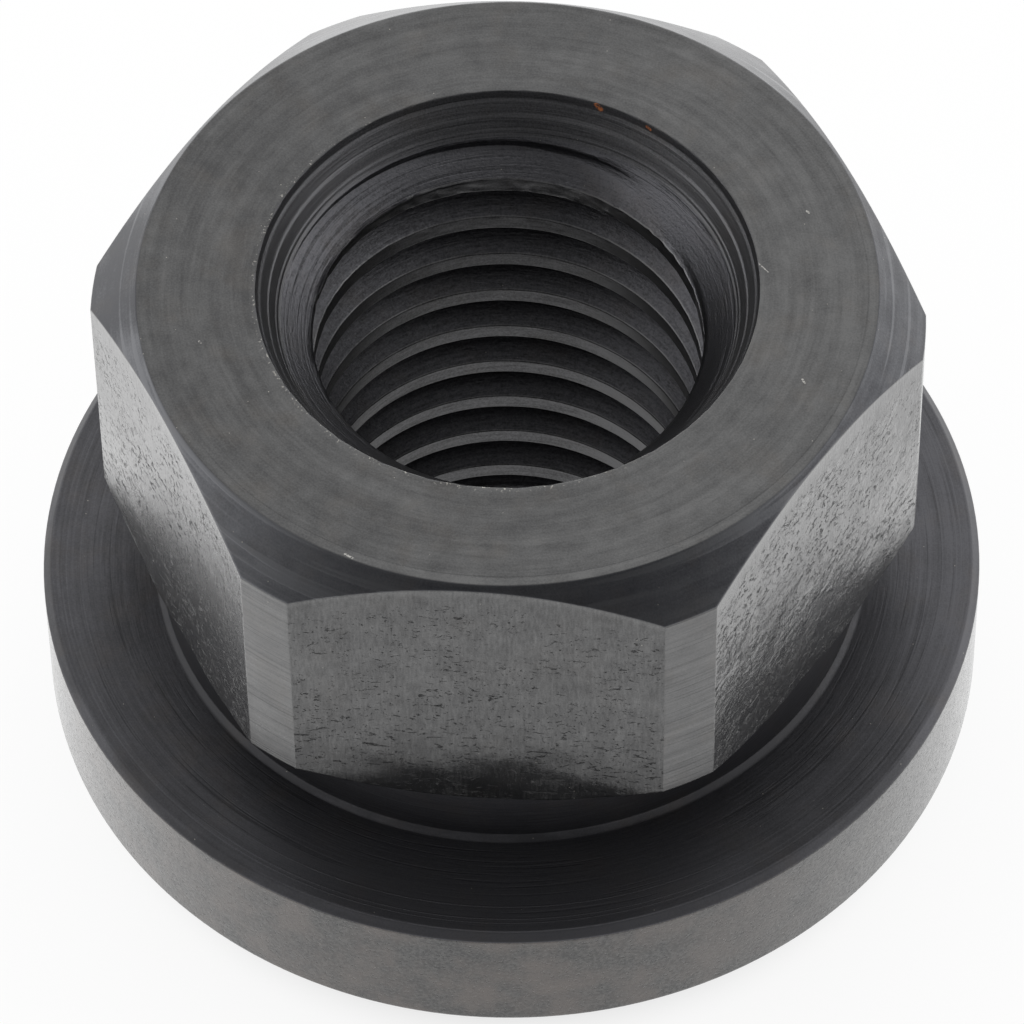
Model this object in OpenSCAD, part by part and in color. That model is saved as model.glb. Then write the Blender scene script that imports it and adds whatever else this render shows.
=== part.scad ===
// Spherical flange nut with a coarse inch thread, in millimetres.
// A hexagon with turned corners stands on a short neck above a round flange, and the flange's
// underside is a convex spherical seat that ends in a narrow flat ring.
// The origin is on the nut's axis at its lowest point, and +Z points out of the wrench end.

/* [Nut] */
// Height of the whole nut, one and a half thread diameters
nut_h = 28.575; // [28:0.025:31]

/* [Thread] */
// Outside diameter of the thread, across the roots of the groove
thread_d = 19.05; // [18.85:0.05:19.2]
// Rise of the thread in one turn, ten threads to the inch
thread_pitch = 2.54; // [2.4:0.02:3]
// Diameter of the tapped hole, across the crests of the thread
minor_d = 16.75; // [16.3:0.05:16.9]
// Width of the flat root of the groove, an eighth of the pitch
root_w = 0.32; // [0.2:0.01:0.4]
// Angle between the two flanks of the groove, in degrees
thread_angle = 60; // [54:1:62]
// Angle round the nut at which the middle of the groove meets the top face, in degrees
thread_turn = 52.6; // [0:0.2:360]
// Diameter of the countersink at each end of the bore
mouth_d = 21.15; // [20.2:0.05:23]
// Angle of the countersink's outer cone, from side to side, in degrees
mouth_angle = 60; // [50:5:70]
// Diameter at which the countersink's outer cone ends and its inner cone starts
lead_d = 19.35; // [19.25:0.05:20]
// Angle of the countersink's inner cone, down to the crests of the thread, in degrees
lead_angle = 90; // [80:5:120]

/* [Hexagon] */
// Wrench size, across the flats
hex_af = 31.55; // [31.3:0.05:33]
// Diameter that the six corners are turned down to
corner_d = 35.15; // [34:0.05:36]
// Diameter of the flat top face, inside the chamfer
top_face_d = 31.1; // [28:0.05:31.3]
// Slope of the top chamfer, from the level, in degrees
chamfer_angle = 42; // [25:1:48]
// Height of the lower ends of the corners above the flange
corner_lift = 4.85; // [4.3:0.05:7]
// Slope of the underside of the hexagon, from the level, in degrees
underside_angle = 36; // [20:1:42]

/* [Neck] */
// Diameter of the neck between the hexagon and the flange
neck_d = 30.65; // [29.5:0.05:31]
// Width of the bevel at the foot of the neck
foot_bevel = 0.24; // [0.1:0.02:0.5]

/* [Flange] */
// Diameter of the flange
flange_d = 41; // [39.5:0.05:46]
// Thickness of the flange at its edge, above the seat
flange_t = 6.33; // [4:0.01:8]
// Width of the bevel on the upper edge of the flange
edge_bevel = 0.34; // [0.1:0.02:0.8]

/* [Seat] */
// Depth of the seat, from the edge of the flange down to the end face
seat_depth = 3.72; // [2.8:0.02:4.2]
// Radius of the spherical seat
seat_r = 38.1; // [36:0.1:42]
// Width of the edge break between the rim of the flange and the seat
rim_break = 0.2; // [0.1:0.02:0.5]

/* [Hidden] */

// Segments of a full circle
round_fn = 128;
// Steps of the thread in one turn
thread_steps = 36;
// Depth that a cutting shape runs past the surface it opens
past = 0.15;

// Levels of the flange, the corners and the neck
flange_top = seat_depth + flange_t;
corner_bottom = flange_top + corner_lift;
corner_top = nut_h - (corner_d - top_face_d) / 2 * tan(chamfer_angle);
neck_top = corner_bottom - (corner_d - neck_d) / 2 * tan(underside_angle);

// Edge and centre of the spherical seat
seat_edge_r = flange_d / 2 - rim_break;
seat_centre = seat_depth + sqrt(seat_r ^ 2 - seat_edge_r ^ 2);

// Radius of the countersink where it runs past its opening, and depths of its outer and inner cones
mouth_past_r = mouth_d / 2 + past * tan(mouth_angle / 2);
lead_depth = (mouth_d - lead_d) / 2 / tan(mouth_angle / 2);
cone_depth = lead_depth + lead_d / 2 / tan(lead_angle / 2);

// Outline of the groove in a plane through the axis, its mouth run past the crests
groove_in_r = minor_d / 2 - past;
groove_out_r = thread_d / 2;
groove_mouth_w = root_w + 2 * (groove_out_r - groove_in_r) * tan(thread_angle / 2);
groove_outline = [
    [groove_in_r, -groove_mouth_w / 2],
    [groove_out_r, -root_w / 2],
    [groove_out_r, root_w / 2],
    [groove_in_r, groove_mouth_w / 2]
];

// Turns of the groove below the top face, and its steps from one end to the other
turns_down = ceil(nut_h / thread_pitch) + 1;
step_count = thread_steps * (turns_down + 1);
last_ring = 4 * step_count;

// Outline turned about the axis: top face, chamfer, corners, underside and neck
module wrench_outline() {
    polygon([
        [0, seat_depth],
        [neck_d / 2, seat_depth],
        [neck_d / 2, neck_top],
        [corner_d / 2, corner_bottom],
        [corner_d / 2, corner_top],
        [top_face_d / 2, nut_h],
        [0, nut_h]
    ]);
}

// Hexagon with its corners, chamfer, underside and neck turned
module wrench_body() {
    intersection() {
        cylinder(h = nut_h, d = hex_af / cos(30), $fn = 6);
        rotate_extrude($fn = round_fn) wrench_outline();
    }
}

// Outline of the flange, with a bevel on each edge and one at the foot of the neck
module flange_outline() {
    polygon([
        [0, 0],
        [seat_edge_r, 0],
        [seat_edge_r, seat_depth],
        [flange_d / 2, seat_depth + rim_break],
        [flange_d / 2, flange_top - edge_bevel],
        [flange_d / 2 - edge_bevel, flange_top],
        [neck_d / 2 + foot_bevel, flange_top],
        [neck_d / 2, flange_top + foot_bevel],
        [0, flange_top + foot_bevel]
    ]);
}

// Round flange, its underside cut to the sphere of the seat
module seat_flange() {
    intersection() {
        rotate_extrude($fn = round_fn) flange_outline();
        translate([0, 0, seat_centre]) sphere(r = seat_r, $fn = round_fn);
    }
}

// Countersink of two cones, widest at its opening, which is at the origin
module countersink() {
    rotate_extrude($fn = round_fn)
        polygon([
            [0, -past],
            [mouth_past_r, -past],
            [lead_d / 2, lead_depth],
            [0, cone_depth]
        ]);
}

// Hole across the crests of the thread, with a countersink at each end
module bore() {
    translate([0, 0, -past]) cylinder(h = nut_h + 2 * past, d = minor_d, $fn = round_fn);
    countersink();
    translate([0, 0, nut_h]) mirror([0, 0, 1]) countersink();
}

// Corners of the groove outline at one step of its climb
function groove_ring(step) =
    let (
        turned = thread_turn + 360 * step / thread_steps,
        level = nut_h + thread_pitch * (step / thread_steps - turns_down)
    )
    [for (corner = groove_outline) [corner[0] * cos(turned), corner[0] * sin(turned), corner[1] + level]];

// Two triangles between two steps, from one corner of the outline to the next
function groove_side(step, corner) =
    let (
        low = 4 * step + corner,
        next = 4 * step + (corner + 1) % 4
    )
    [[low, next + 4, low + 4], [low, next, next + 4]];

// Right-hand helical groove of the thread, open towards the bore
module thread_groove() {
    polyhedron(
        points = [for (step = [0:step_count]) each groove_ring(step)],
        faces = [
            [3, 2, 1, 0],
            for (step = [0:step_count - 1], corner = [0:3]) each groove_side(step, corner),
            [last_ring, last_ring + 1, last_ring + 2, last_ring + 3]
        ],
        convexity = 20
    );
}

// The whole nut in one piece
module flange_nut() {
    color([0.27, 0.27, 0.28])
        difference() {
            union() {
                seat_flange();
                wrench_body();
            }
            bore();
            thread_groove();
        }
}

flange_nut();
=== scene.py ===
"""Spherical flange nut in black-oxide steel: its full surface, its finishes and a plain pale studio.

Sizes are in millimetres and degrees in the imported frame, whose origin is the nut's lowest point on its
axis, with +Z out of the wrench end. Meshes are turned to metres when they are written.
"""

import logging
import math
from dataclasses import dataclass, field
from enum import Enum

import bpy
import numpy as np
from mathutils import Matrix, Vector


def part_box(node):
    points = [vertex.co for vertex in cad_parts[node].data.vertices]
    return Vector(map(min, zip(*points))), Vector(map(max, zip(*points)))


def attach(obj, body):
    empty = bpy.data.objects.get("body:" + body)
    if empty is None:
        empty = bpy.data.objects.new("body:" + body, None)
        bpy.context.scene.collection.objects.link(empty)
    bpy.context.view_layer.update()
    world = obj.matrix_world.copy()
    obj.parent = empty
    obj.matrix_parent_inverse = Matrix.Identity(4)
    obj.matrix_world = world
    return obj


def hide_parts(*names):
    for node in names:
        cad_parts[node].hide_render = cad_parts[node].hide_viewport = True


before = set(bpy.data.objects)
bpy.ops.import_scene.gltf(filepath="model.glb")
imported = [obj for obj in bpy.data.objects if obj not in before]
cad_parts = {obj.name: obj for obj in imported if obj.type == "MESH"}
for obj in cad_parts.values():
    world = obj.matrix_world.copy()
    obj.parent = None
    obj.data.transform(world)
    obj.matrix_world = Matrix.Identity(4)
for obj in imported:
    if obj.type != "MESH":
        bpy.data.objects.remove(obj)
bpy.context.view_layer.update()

LOG = logging.getLogger("flange_nut")
MM = 0.001
NODE = "flange_nut"
FULL_TURN = 2 * math.pi
SIXTH = math.pi / 3
# The flats lie side by side on their own plan, this far apart. The front one, towards -Y, is number four.
PLAN_NAME = "flat_plan"
PLAN_STEP = 40
FRONT_FLAT = 4
# Random phases are drawn up to this, just under a full turn
PHASES = 6.28
# Places of the colour sockets on Blender's Mix node, where names are shared with its other sockets
MIX_FROM, MIX_TO, MIX_OUT = 6, 7, 2

Socket = bpy.types.NodeSocket
Spots = list[tuple[Socket, str]]


class Area(Enum):
    """The nut's surfaces, each with its own finish. The value is the material slot's index."""

    TOP = 0
    CHAMFER = 1
    FLAT = 2
    CORNER = 3
    FLANGE = 4
    RIM = 5
    SEAT = 6
    MOUTH = 7
    THREAD = 8
    CREST = 9


def linear(colour: str) -> tuple[float, float, float, float]:
    """Turn an sRGB hex colour to linear light.

    Args:
        colour: Six hex digits, such as "4A4A4B".

    Returns:
        Red, green, blue and an alpha of one, in linear light.
    """
    parts = [int(colour[i : i + 2], 16) / 255 for i in (0, 2, 4)]
    light = [c / 12.92 if c <= 0.04045 else ((c + 0.055) / 1.055) ** 2.4 for c in parts]
    return (*light, 1.0)


def add(tree: bpy.types.NodeTree, kind: str, settings: dict, links: dict | None = None) -> bpy.types.Node:
    """Add one node, set its values and link its inputs.

    Args:
        tree: The node tree it goes into.
        kind: The node's type name.
        settings: Values by name: an input's name or number, or one of the node's own properties.
        links: Output sockets by the name or number of the input that each goes to.

    Returns:
        The new node.
    """
    made = tree.nodes.new(kind)
    own = [name for name in settings if isinstance(name, str) and hasattr(made, name)]
    for name in own:
        setattr(made, name, settings[name])
    for name, value in settings.items():
        if name not in own:
            made.inputs[name].default_value = value
    for name, socket in (links or {}).items():
        tree.links.new(socket, made.inputs[name])
    return made


@dataclass(frozen=True)
class NutSizes:
    """The nut's own sizes, in millimetres and degrees. The cone's are depths below an end face, and radii."""

    height: float
    flange_r: float
    mouth_r: float = 10.575
    root_r: float = 9.525
    crest_r: float = 8.25
    pitch: float = 2.54
    root_w: float = 0.32
    flank_angle: float = 30.0
    thread_turn: float = 52.6
    flat_r: float = 15.775
    corner_r: float = 17.575
    top_r: float = 15.55
    chamfer_angle: float = 42.0
    corner_lift: float = 4.85
    underside_angle: float = 36.0
    neck_r: float = 15.325
    foot_bevel: float = 0.24
    flange_t: float = 6.33
    edge_bevel: float = 0.34
    seat_depth: float = 3.72
    seat_r: float = 38.1
    rim_break: float = 0.2
    cone: tuple[tuple[float, float], ...] = (
        (0.0, 10.575),
        (0.35, 10.465),
        (0.47, 10.36),
        (0.98, 10.105),
        (1.07, 10.02),
        (1.55, 9.775),
        (1.62, 9.71),
        (1.73, 9.66),
        (1.8, 9.595),
        (4.2, 7.02),
    )

    @property
    def flange_top(self) -> float:
        """Level of the flange's upper face."""
        return self.seat_depth + self.flange_t

    @property
    def flat_half(self) -> float:
        """Half the angle that one flat takes up between its corners, in radians."""
        return math.acos(self.flat_r / self.corner_r)


@dataclass
class NutSurface:
    """The nut's whole surface as one closed grid: round the axis, and along a section from mouth to mouth.

    Sharp corners are eased over the soften length, or over the two of thread_ease on the thread. The first
    row beside an edge lies the support length from it. Near each ledge of the cone, rows lie at ledge_rows.
    Each fade is a start and a width, and the waves' sizes are the least and the most in millimetres.
    """

    sizes: NutSizes
    flat_columns: int = 28
    corner_columns: int = 5
    seat_rows: int = 8
    soften: float = 0.05
    support: float = 0.06
    thread_ease: tuple[float, float] = (0.01, 0.035)
    ledge_rows: tuple[float, ...] = (-0.05, -0.015, 0.015, 0.05)
    mouth_rows: tuple[float, ...] = (0.02, 0.06)
    root_margin: float = 0.03
    lip_slope: float = 0.76
    lip_turn: float = 0.1
    lip_fade: tuple[float, float] = (0.05, 0.6)
    lip_run: float = 0.6
    wave_depth: float = 0.018
    wave_fade: float = 0.09
    wave_wide: tuple[float, float] = (3.5, 9.0)
    wave_high: tuple[float, float] = (2.5, 7.0)
    wave_lean: float = 0.6
    tear_depth: float = 0.035
    edge_tear: float = 0.07
    merge: float = 1e-8

    def angles(self) -> np.ndarray:
        """Angles of the grid's columns, in radians: each flat's and corner's edges, and even steps between them.

        The steps start a short support away from the edges, so that smooth shading turns only there.

        Returns:
            The angles, from the first flat's edge round to the last corner's.
        """
        half = self.sizes.flat_half
        near = self.support / self.sizes.corner_r
        flat = np.linspace(near - half, half - near, self.flat_columns)
        corner = np.linspace(half + near, SIXTH - half - near, self.corner_columns)
        one = np.concatenate([[-half], flat, [half], corner]) + SIXTH / 2
        return (one[None] + SIXTH * np.arange(6)[:, None]).ravel()

    def off_flat(self, theta: np.ndarray) -> np.ndarray:
        """Angle from the middle of the nearest flat: the angle's rest after whole sixths, less half a sixth."""
        return theta % SIXTH - SIXTH / 2

    def flat_number(self, theta: np.ndarray) -> np.ndarray:
        """Number of the flat that an angle is on, from nought at +X: whole sixths of a turn."""
        return np.floor((theta % FULL_TURN) / SIXTH).astype(int) % 6

    def wall(self, theta: np.ndarray) -> np.ndarray:
        """Radius of the hexagon's side: flat radius over the cosine of the angle off the flat, or the corner's."""
        return np.minimum(self.sizes.corner_r, self.sizes.flat_r / np.cos(self.off_flat(theta)))

    def section(self, theta: np.ndarray) -> list[tuple[Area, int, np.ndarray, np.ndarray]]:
        """Corners of the outside's section at each angle, from the upper mouth down to the lower one.

        The chamfer falls from the top face's edge, and the underside rises to the corners, both at their own
        slopes, so their levels at a flat follow from its radius there.

        Args:
            theta: Angles of the columns.

        Returns:
            For each corner: the area of the stretch that ends there, its steps, and radius and height.
        """
        s = self.sizes
        side = self.wall(theta)
        slope, under = math.tan(math.radians(s.chamfer_angle)), math.tan(math.radians(s.underside_angle))
        corner_low = s.flange_top + s.corner_lift
        seat_edge = s.flange_r - s.rim_break
        centre = s.seat_depth + math.sqrt(s.seat_r**2 - seat_edge**2)
        ring = math.sqrt(s.seat_r**2 - centre**2)
        seat = [seat_edge + (ring - seat_edge) * t for t in np.linspace(0, 1, self.seat_rows + 1)[1:]]
        corners = [
            (Area.TOP, 1, s.mouth_r + self.ragged(theta), s.height),
            (Area.TOP, 4, s.top_r, s.height),
            (Area.CHAMFER, 3, side, s.height - (side - s.top_r) * slope),
            (Area.FLAT, 22, side, corner_low - (s.corner_r - side) * under),
            (Area.CORNER, 3, s.neck_r, corner_low - (s.corner_r - s.neck_r) * under),
            (Area.FLANGE, 2, s.neck_r, s.flange_top + s.foot_bevel),
            (Area.FLANGE, 1, s.neck_r + s.foot_bevel, s.flange_top),
            (Area.FLANGE, 4, s.flange_r - s.edge_bevel, s.flange_top),
            (Area.FLANGE, 1, s.flange_r, s.flange_top - s.edge_bevel),
            (Area.RIM, 3, s.flange_r, s.seat_depth + s.rim_break),
            (Area.RIM, 1, seat_edge, s.seat_depth),
        ]
        corners += [(Area.SEAT, 1, r, centre - math.sqrt(s.seat_r**2 - r**2)) for r in seat]
        corners.append((Area.SEAT, 1, s.mouth_r, 0.0))
        one = np.ones_like(theta)
        return [(area, steps, radius * one, level * one) for area, steps, radius, level in corners]

    def toward(self, here: np.ndarray, other: np.ndarray) -> np.ndarray:
        """Move a corner towards another by the soften length, or by 0.3 of a stretch that is short.

        Args:
            here: Radii and heights of the corner.
            other: Those of the other.

        Returns:
            The moved radii and heights.
        """
        way = other - here
        length = np.linalg.norm(way, axis=0)
        return here + way / length * np.minimum(self.soften, length * 0.3)

    def outside(self, theta: np.ndarray) -> tuple[np.ndarray, np.ndarray, np.ndarray]:
        """Rows of the outside, with each sharp corner of the section eased over a small length.

        A corner P between its neighbours A and B becomes three points: P moved towards A, the curve's middle
        a quarter A' + half P + quarter B', and P moved towards B, where A' and B' are the moved points.

        Args:
            theta: Angles of the columns.

        Returns:
            Radii and heights, a row for each point of the section, and the area above each row.
        """
        corners = self.section(theta)
        points = np.array([[c[2], c[3]] for c in corners])
        rows, areas = [points[0]], [Area.TOP.value]
        last = points[0]
        for i, (area, steps, _, _) in enumerate(corners[1:], start=1):
            here = points[i]
            on = corners[i + 1][0] if i + 1 < len(corners) else None
            ease = on is not None and not (area is Area.SEAT and on is Area.SEAT)
            before = self.toward(here, points[i - 1]) if ease else here
            span = before - last
            near = np.minimum(self.support / np.maximum(np.linalg.norm(span, axis=0), 1e-6), 0.25)
            shares = list(np.linspace(0, 1, steps + 1)[1:])
            if area is not Area.SEAT:
                shares = [near] + shares[:-1] + [1 - near, 1.0]
            rows += [last + span * share for share in shares]
            areas += [area.value] * len(shares)
            last = before
            if ease:
                last = self.toward(here, points[i + 1])
                rows += [0.25 * before + 0.5 * here + 0.25 * last, last]
                areas += [area.value, on.value]
        grid = np.array(rows)
        return grid[:, 0], grid[:, 1], np.array(areas)

    def thread(self, z: np.ndarray, theta: np.ndarray) -> np.ndarray:
        """Radius of the tapped hole: the root's, less the flank's rise away from it, and no less than the crest's.

        Args:
            z: Heights.
            theta: Angles.

        Returns:
            The radii.
        """
        s = self.sizes
        level = s.height + s.pitch * (theta / FULL_TURN - s.thread_turn / 360)
        away = np.abs((z - level + s.pitch / 2) % s.pitch - s.pitch / 2)
        rise = (away - s.root_w / 2) / math.tan(math.radians(s.flank_angle))
        return np.clip(s.root_r - rise, s.crest_r, s.root_r)

    def cone(self, z: np.ndarray) -> np.ndarray:
        """Radius of the nearer countersink: straight runs between the steps that its cutters left, by depth."""
        steps = np.array(self.sizes.cone)
        return np.interp(np.minimum(z, self.sizes.height - z), steps[:, 0], steps[:, 1])

    def turn_rows(self) -> np.ndarray:
        """Heights of one turn's rows above the groove's middle: root, flanks and crest, with eased edges.

        Returns:
            The heights, from nought to under a pitch.
        """
        s = self.sizes
        root = s.root_w / 2
        edge = root + (s.root_r - s.crest_r) * math.tan(math.radians(s.flank_angle))
        close, wide = self.thread_ease
        flank = np.linspace(root + wide, edge - wide, 4)[1:-1]
        up = np.concatenate(
            [[root - close, root + close, root + wide], flank, [edge - wide, edge - close, edge + close, edge + wide]]
        )
        crest = np.linspace(edge + wide, s.pitch - edge - wide, 5)[1:-1]
        return np.concatenate([[0.0], up, crest, s.pitch - up[::-1]])

    def bore(self, theta: np.ndarray) -> tuple[np.ndarray, np.ndarray, int, int]:
        """Rows of the bore, from the lower mouth up, along the helix between the two countersinks.

        A helical row's height is its height at angle nought plus the pitch times the share of a turn, held
        between two levels where the hole is all cone. Where cone and thread cross between two rows, the
        nearer row moves to the crossing.

        Args:
            theta: Angles of the columns.

        Returns:
            Radii, heights, the first helical row, and the number of rows in one turn.
        """
        s = self.sizes
        steps = np.array(s.cone)
        clear = float(np.interp(-s.root_r - self.root_margin, -steps[:, 1], steps[:, 0]))
        one_turn = self.turn_rows()
        turns = int(math.ceil(s.height / s.pitch)) + 2
        base = s.height - s.pitch * s.thread_turn / 360 - s.pitch * turns
        low = (base + s.pitch * np.arange(turns + 2)[:, None] + one_turn[None]).ravel()
        keep = (low > -s.pitch * 1.2) & (low < s.height + s.pitch * 0.1)
        z = low[keep][:, None] + s.pitch * theta[None] / FULL_TURN
        z = np.clip(z, clear, s.height - clear)
        wide = np.broadcast_to(theta, z.shape)
        gap = self.cone(z) - self.thread(z, wide)
        cross = gap[:-1] * gap[1:] < 0
        share = np.where(cross, gap[:-1] / np.where(cross, gap[:-1] - gap[1:], 1), 0)
        step = np.diff(z, axis=0)
        z[:-1] += np.where(cross & (share < 0.5), share * step, 0)
        z[1:] -= np.where(cross & (share >= 0.5), (1 - share) * step, 0)
        radius = np.maximum(self.cone(z), self.thread(z, wide) + self.torn(z, wide))
        radius = self.worn_lip(z, wide, radius)
        ledges = (steps[1:-1, 0][:, None] + np.array(self.ledge_rows)).ravel()
        ends = np.sort(np.concatenate([self.mouth_rows, ledges]))
        ends = ends[(ends > 0) & (ends < clear - self.mouth_rows[0])]
        lower = np.broadcast_to(ends[:, None], (len(ends), len(theta)))
        upper = s.height - lower[::-1]
        heights = np.concatenate([lower, z, upper])
        radii = np.concatenate([self.cone(lower), radius, self.cone(upper)])
        return radii, heights, len(ends), len(one_turn)

    def worn_lip(self, z: np.ndarray, theta: np.ndarray, radius: np.ndarray) -> np.ndarray:
        """Radius with the first groove shallow on the +X side, where the photo shows none above the first crest.

        A straight line from the cone's last step takes the place of lip and root, down to where it meets the
        lower flank.

        Args:
            z: Heights.
            theta: Angles.
            radius: Radii of the whole lip and groove.

        Returns:
            The radii, which change over to the line as the angle nears the +X side.
        """
        s = self.sizes
        start, start_r = s.cone[-2]
        signed = (theta + math.pi) % FULL_TURN - math.pi
        depth = s.height - z
        root_end = s.pitch * ((math.radians(s.thread_turn) - signed) / FULL_TURN + 1) + s.root_w / 2
        line = start_r - (depth - start) * self.lip_slope
        line = np.where(depth < root_end, line, np.minimum(line, radius))
        fade, width = self.lip_fade
        side = np.clip((np.cos(signed - self.lip_turn) - fade) / width, 0, 1)
        near = (depth > start) & (depth < root_end + self.lip_run)
        return np.where(near, radius + side * (line - radius), radius)

    def ripples(
        self, seed: int, count: int, fewest: int, theta: np.ndarray, lean: float = 0.0, z: np.ndarray | float = 0.0
    ) -> np.ndarray:
        """Fine waves round the bore: a sum of sines of the angle times a whole number, each leaning and shifted.

        Args:
            seed: Picks the random draws.
            count: How many sines.
            fewest: Fewest waves in a turn. The most is 79.
            theta: Angles.
            lean: Most that a wave shifts for a millimetre of height, in radians.
            z: Heights.

        Returns:
            The sum.
        """
        chance = np.random.default_rng(seed)
        total = 0.0
        for _ in range(count):
            turned = chance.integers(fewest, 80) * theta
            climb = chance.uniform(-lean, lean) * z if lean else 0.0
            total = total + np.sin(turned + climb + chance.uniform(0, PHASES))
        return total

    def ragged(self, theta: np.ndarray) -> np.ndarray:
        """How far the mouth's edge is torn outwards: the positive part of fine waves, most on the -X side."""
        side = 0.35 + 0.65 * (0.5 - 0.5 * np.cos(theta - 0.4))
        return self.edge_tear * np.clip(self.ripples(5, 9, 17, theta) / 2.1 - 0.2, 0, 1.3) * side

    def torn(self, z: np.ndarray, theta: np.ndarray) -> np.ndarray:
        """How much of a crest is torn away: the positive part of a few fine waves, deepest on the first turn down.

        The depth falls off as e to the minus square of the distance from a level 2.9 mm below the end face,
        over 2.2 mm.

        Args:
            z: Heights.
            theta: Angles.

        Returns:
            What is added to the radius, which is nought away from the crests.
        """
        s = self.sizes
        strong = np.exp(-(((s.height - z - 2.9) / 2.2) ** 2)) + 0.15
        on_crest = self.thread(z, theta) < s.crest_r + 0.12
        rough = np.clip(self.ripples(19, 14, 20, theta, 16, z) / 2.2 - 0.35, 0, 1.2)
        return np.where(on_crest, self.tear_depth * strong * rough, 0)

    def wave(self, theta: np.ndarray, z: np.ndarray, area: np.ndarray) -> np.ndarray:
        """How far a flat's face lies in from true: a few slow waves along and up it, fading at its edges.

        Each wave is a sine of the way along the flat times a cosine of the way up, with its own phase on each
        flat. They have 0.3 of their depth on most of a flat, and up to 2.7 times it near the lower edge.

        Args:
            theta: Angles.
            z: Heights.
            area: Area of each row.

        Returns:
            What is taken from the radius, which is nought off the flats.
        """
        s = self.sizes
        off = self.off_flat(theta)
        along = s.flat_r * np.tan(off)
        which = self.flat_number(theta)
        up = z - (s.flange_top + s.corner_lift - 2)
        total = np.zeros_like(z)
        chance = np.random.default_rng(7)
        for _ in range(7):
            wide, high = chance.uniform(*self.wave_wide), chance.uniform(*self.wave_high)
            lean, phase = chance.uniform(-self.wave_lean, self.wave_lean), chance.uniform(0, PHASES, 6)[which]
            across = np.sin(FULL_TURN * (along / wide + lean * up / high) + phase)
            total += across * np.cos(FULL_TURN * up / high + 2 * phase)
        fade = np.clip((s.flat_half - np.abs(off)) / self.wave_fade, 0, 1)
        low_part = 0.3 + 2.4 * np.exp(-((up / 3.4) ** 2))
        return np.where(area == Area.FLAT.value, self.wave_depth * total / 2.6 * fade * low_part, 0)

    def build(self, name: str) -> bpy.types.Object:
        """Make the nut as one closed mesh, its grid joined to itself both ways.

        The helical rows climb a pitch in a turn, so where the turn closes, each of them meets the row one
        turn higher.

        Args:
            name: The object's name.

        Returns:
            The new object, linked to the scene, at the origin.
        """
        theta = self.angles()
        count = len(theta)
        out_r, out_z, out_area = self.outside(theta)
        out_r = out_r - self.wave(np.broadcast_to(theta, out_r.shape), out_z, out_area[:, None])
        in_r, in_z, first, turn = self.bore(theta)
        radii, heights = np.concatenate([out_r, in_r]), np.concatenate([out_z, in_z])
        rows = len(radii)
        places = np.stack([radii * np.cos(theta), radii * np.sin(theta), heights], axis=-1).reshape(-1, 3) * MM

        row = np.arange(rows)
        begin, stop = len(out_r) + first, rows - first
        climbs = (row >= begin) & (row < stop)
        closing = np.where(climbs, np.clip(row + turn, begin, stop - 1), row) * count
        index = np.concatenate([row[:, None] * count + np.arange(count), closing[:, None]], axis=1)
        index = np.concatenate([index, index[:1]], axis=0)
        quads = np.stack([index[:-1, :-1], index[1:, :-1], index[1:, 1:], index[:-1, 1:]], axis=-1)

        inside = np.full(rows - len(out_area) + 1, Area.THREAD.value)
        inside[: first + 1] = Area.MOUTH.value
        inside[-first - 1 :] = Area.MOUTH.value
        areas = np.repeat(np.concatenate([out_area[1:], inside]), count)
        middle = theta + np.diff(np.append(theta, theta[0] + FULL_TURN)) / 2
        on_corner = np.abs(self.off_flat(middle)) >= self.sizes.flat_half
        areas = np.where((areas == Area.FLAT.value) & np.tile(on_corner, rows), Area.CORNER.value, areas)
        edge_r = np.maximum(radii.ravel()[index[:-1, :-1]], radii.ravel()[index[1:, :-1]]).ravel()
        on_crest = (areas == Area.THREAD.value) & (edge_r < self.sizes.crest_r + 0.1)
        areas = np.where(on_crest, Area.CREST.value, areas)
        return self.write(name, places, quads.reshape(-1, 4), areas)

    def write(self, name: str, places: np.ndarray, quads: np.ndarray, areas: np.ndarray) -> bpy.types.Object:
        """Put a grid into a mesh, with points that share a place merged and faces that vanish dropped.

        Args:
            name: The object's name.
            places: Points in metres.
            quads: Four points for each face.
            areas: The area of each face.

        Returns:
            The new object, linked to the scene.
        """
        keys = np.round(places / self.merge).astype(np.int64)
        _, first, back = np.unique(keys, axis=0, return_index=True, return_inverse=True)
        quads = back.reshape(-1)[quads]
        fresh = quads != np.roll(quads, 1, axis=1)
        crossed = (quads[:, 0] == quads[:, 2]) | (quads[:, 1] == quads[:, 3])
        whole = (fresh.sum(axis=1) >= 3) & ~crossed
        quads, fresh, areas = quads[whole], fresh[whole], areas[whole]
        sides = fresh.sum(axis=1)
        corners = quads[fresh]
        mesh = bpy.data.meshes.new(name)
        mesh.vertices.add(len(first))
        mesh.vertices.foreach_set("co", places[first].ravel())
        mesh.loops.add(len(corners))
        mesh.loops.foreach_set("vertex_index", corners)
        mesh.polygons.add(len(sides))
        mesh.polygons.foreach_set("loop_start", np.concatenate([[0], np.cumsum(sides)[:-1]]))
        mesh.polygons.foreach_set("material_index", areas)
        mesh.polygons.foreach_set("use_smooth", np.ones(len(sides), bool))
        self.lay_flats(mesh, places[first][corners] / MM, np.repeat(areas, sides))
        mesh.update()
        mesh.validate()
        made = bpy.data.objects.new(name, mesh)
        bpy.context.scene.collection.objects.link(made)
        return made

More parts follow.
